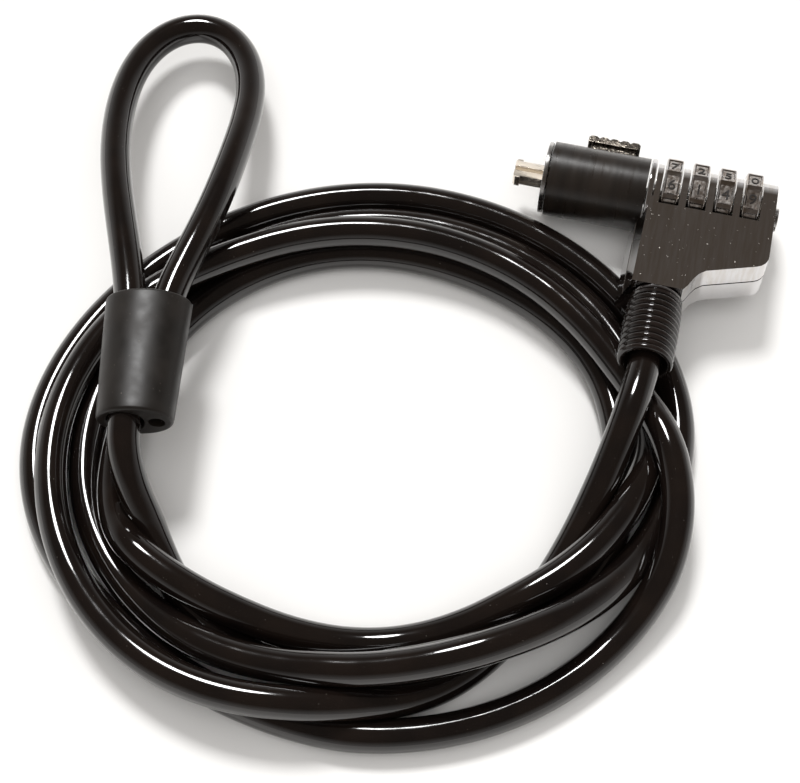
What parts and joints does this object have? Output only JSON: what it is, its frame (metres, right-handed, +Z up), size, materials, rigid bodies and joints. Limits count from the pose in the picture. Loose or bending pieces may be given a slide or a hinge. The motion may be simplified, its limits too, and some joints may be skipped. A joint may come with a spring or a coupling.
{
  "type": "laptop cable lock",
  "caption": "Combination cable lock for a laptop: chromed head with number dials, push button and slot tip, on a coiled black cable ending in an eye loop.",
  "frame": {"origin": "on the surface under the lock head's centre, measured without the cable and its loop", "axes": "+X along the barrel from the locking tip to the reset disc, +Y towards the push button, +Z up out of the surface"},
  "size_m": [0.1414, 0.1574, 0.0245],
  "materials": {
    "zinc_cover": "polished chrome-plated die-cast zinc",
    "plated_steel": "plain nickel-plated steel",
    "code_brass": "machined brass",
    "nose_black": "satin black coating",
    "moulded_black": "moulded black vinyl",
    "cable_vinyl": "glossy black vinyl jacket"
  },
  "bodies": {
    "lock_body": {"upper_shell": "zinc_cover", "lower_shell": "zinc_cover", "body_screw_1": "plated_steel", "body_screw_2": "plated_steel", "detent_spring": "plated_steel", "nose_sleeve": "nose_black", "nose_core": "plated_steel", "front_plate": "plated_steel", "front_collar": "zinc_cover", "jaw_pin": "plated_steel", "strain_relief": "moulded_black", "cable_anchor": "plated_steel", "spindle_spring": "plated_steel", "button_spring": "plated_steel", "cable_lead": "cable_vinyl", "cable_coil": "cable_vinyl", "cable_tail": "cable_vinyl", "cable_loop": "cable_vinyl", "loop_sleeve": "moulded_black", "loop_crimp": "plated_steel"},
    "dial_1": {"number_dial_1": "zinc_cover", "code_sleeve_1": "code_brass"},
    "dial_2": {"number_dial_2": "zinc_cover", "code_sleeve_2": "code_brass"},
    "dial_3": {"number_dial_3": "zinc_cover", "code_sleeve_3": "code_brass"},
    "dial_4": {"number_dial_4": "zinc_cover", "code_sleeve_4": "code_brass"},
    "reset_disc": {"reset_disc": "plated_steel"},
    "button": {"push_button": "zinc_cover"},
    "spindle": {"code_spindle": "plated_steel", "drive_slider": "plated_steel"},
    "rear_jaw": {"rear_jaw": "plated_steel"},
    "front_jaw": {"front_jaw": "plated_steel"}
  },
  "joints": [
    {"name": "dial_1_turn", "type": "hinge", "parent": "lock_body", "child": "dial_1", "pos_m": [0.00485, 0.01583, 0.00929], "axis": [1, 0, 0], "continuous": true},
    {"name": "dial_2_turn", "type": "hinge", "parent": "lock_body", "child": "dial_2", "pos_m": [0.01025, 0.01583, 0.00929], "axis": [1, 0, 0], "continuous": true},
    {"name": "dial_3_turn", "type": "hinge", "parent": "lock_body", "child": "dial_3", "pos_m": [0.01565, 0.01583, 0.00929], "axis": [1, 0, 0], "continuous": true},
    {"name": "dial_4_turn", "type": "hinge", "parent": "lock_body", "child": "dial_4", "pos_m": [0.02105, 0.01583, 0.00929], "axis": [1, 0, 0], "continuous": true},
    {"name": "reset_disc_turn", "type": "hinge", "parent": "lock_body", "child": "reset_disc", "pos_m": [0.02605, 0.01583, 0.00929], "axis": [1, 0, 0], "range_deg": [0, 90]},
    {"name": "button_press", "type": "slide", "parent": "lock_body", "child": "button", "axis": [0, -0.9954, 0.0958], "range_m": [0, 0.0014], "stiffness_N_per_m": 400, "springref_m": -0.003},
    {"name": "spindle_slide", "type": "slide", "parent": "lock_body", "child": "spindle", "axis": [1, 0, 0], "range_m": [0, 0.00102]},
    {"name": "rear_jaw_pinch", "type": "hinge", "parent": "lock_body", "child": "rear_jaw", "pos_m": [-0.01395, 0.01583, 0.00929], "axis": [0, 0.0958, 0.9954], "range_deg": [0, 2.2]},
    {"name": "front_jaw_pinch", "type": "hinge", "parent": "lock_body", "child": "front_jaw", "pos_m": [-0.01395, 0.01583, 0.00929], "axis": [0, 0.0958, 0.9954], "range_deg": [-2.2, 0]}
  ],
  "couplings": [
    {"joint": "spindle_slide", "follows": "button_press", "ratio": 0.72},
    {"joint": "rear_jaw_pinch", "follows": "button_press", "rad_per_m": 27},
    {"joint": "front_jaw_pinch", "follows": "button_press", "rad_per_m": -27}
  ]
}
